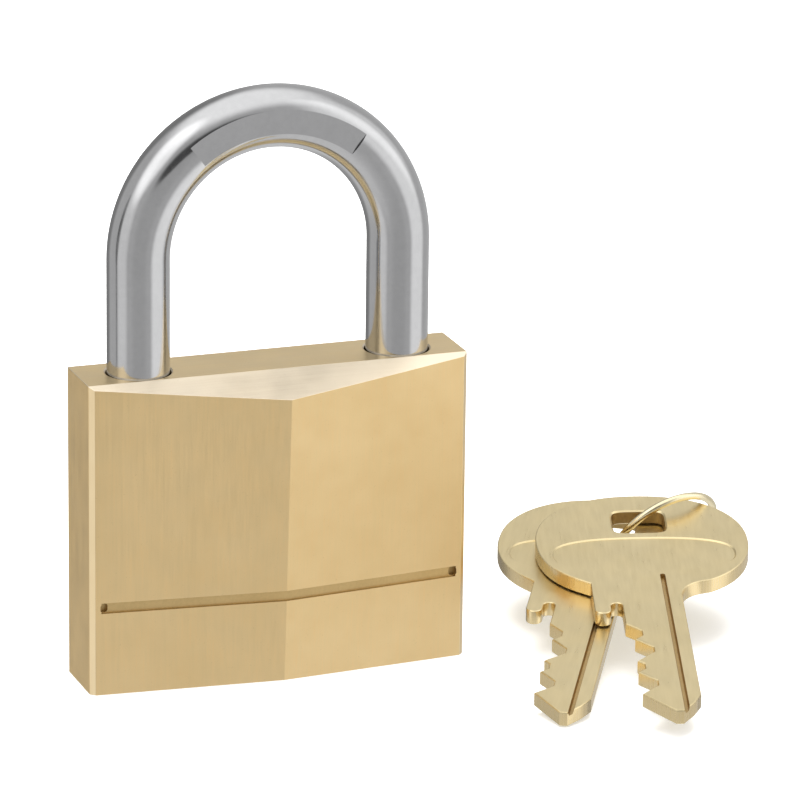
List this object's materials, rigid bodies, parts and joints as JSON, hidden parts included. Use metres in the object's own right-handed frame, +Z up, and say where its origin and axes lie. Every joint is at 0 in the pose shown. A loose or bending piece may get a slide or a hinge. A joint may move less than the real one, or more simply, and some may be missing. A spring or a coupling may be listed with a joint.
{
  "type": "padlock",
  "caption": "Vee-fronted brass pin-tumbler padlock with a plated steel shackle, working bolts and plug, and its keys on a wire ring.",
  "frame": {"origin": "centre of the lock body's base face", "axes": "+Z up along the shackle's legs, +X along the width towards the free toe leg and the keys, front face towards -Y"},
  "size_m": [0.0736, 0.0494, 0.0608],
  "materials": {
    "body_brass": "fine vertical brushing, satin",
    "plug_brass": "turned",
    "shackle_plating": "bright plated steel",
    "pin_steel": "turned",
    "spring_steel": "drawn wire",
    "key_metal": "nickel brass, rolled and stamped",
    "ring_wire": "bright drawn wire"
  },
  "bodies": {
    "lock": {"lock_body": "body_brass", "chamber_plug_1": "body_brass", "chamber_plug_2": "body_brass", "chamber_plug_3": "body_brass", "chamber_plug_4": "body_brass", "bolt_bore_plug": "body_brass", "plug_retaining_pin": "pin_steel", "shackle_retaining_pin": "pin_steel", "driver_pin_1": "pin_steel", "driver_pin_2": "pin_steel", "driver_pin_3": "pin_steel", "driver_pin_4": "pin_steel", "driver_spring_1": "spring_steel", "driver_spring_2": "spring_steel", "driver_spring_3": "spring_steel", "driver_spring_4": "spring_steel", "bolt_spring": "spring_steel"},
    "lift_spring": {"shackle_spring": "spring_steel"},
    "shackle": {"shackle": "shackle_plating"},
    "plug": {"key_plug": "plug_brass", "cam": "pin_steel", "key_pin_1": "plug_brass", "key_pin_2": "plug_brass", "key_pin_3": "plug_brass", "key_pin_4": "plug_brass"},
    "toe_bolt": {"toe_bolt": "pin_steel"},
    "heel_bolt": {"heel_bolt": "pin_steel"},
    "ring": {"key_ring": "ring_wire"},
    "front_key": {"front_key": "key_metal"},
    "back_key": {"back_key": "key_metal"}
  },
  "joints": [
    {"name": "shackle_lift", "type": "slide", "parent": "lock", "child": "lift_spring", "axis": [0, 0, 1], "range_m": [0, 0.0105], "deforming": ["shackle_spring"]},
    {"name": "shackle_swivel", "type": "hinge", "parent": "lift_spring", "child": "shackle", "pos_m": [-0.0137, 0, 0.03], "axis": [0, 0, 1], "continuous": true},
    {"name": "plug_turn", "type": "hinge", "parent": "lock", "child": "plug", "pos_m": [0, 0, 0.01], "axis": [0, 0, 1], "range_deg": [-90, 0]},
    {"name": "toe_bolt_slide", "type": "slide", "parent": "lock", "child": "toe_bolt", "axis": [1, 0, 0], "range_m": [0, 0.0013]},
    {"name": "heel_bolt_slide", "type": "slide", "parent": "lock", "child": "heel_bolt", "axis": [-1, 0, 0], "range_m": [0, 0.0013]},
    {"name": "keys_lift", "type": "slide", "parent": "lock", "child": "ring", "axis": [0, 0, 1], "range_m": [0, 0.04]},
    {"name": "front_key_fan", "type": "hinge", "parent": "ring", "child": "front_key", "pos_m": [0.0433, 0.00549, 0.00937], "axis": [-0.059, -0.1393, 0.9885], "range_deg": [0, 6]},
    {"name": "back_key_fan", "type": "hinge", "parent": "ring", "child": "back_key", "pos_m": [0.0433, 0.00549, 0.00937], "axis": [-0.059, -0.1393, 0.9885], "range_deg": [-6, 0]}
  ],
  "couplings": [
    {"joint": "toe_bolt_slide", "follows": "plug_turn", "m_per_rad": -0.0008276},
    {"joint": "heel_bolt_slide", "follows": "plug_turn", "m_per_rad": -0.0008276}
  ]
}
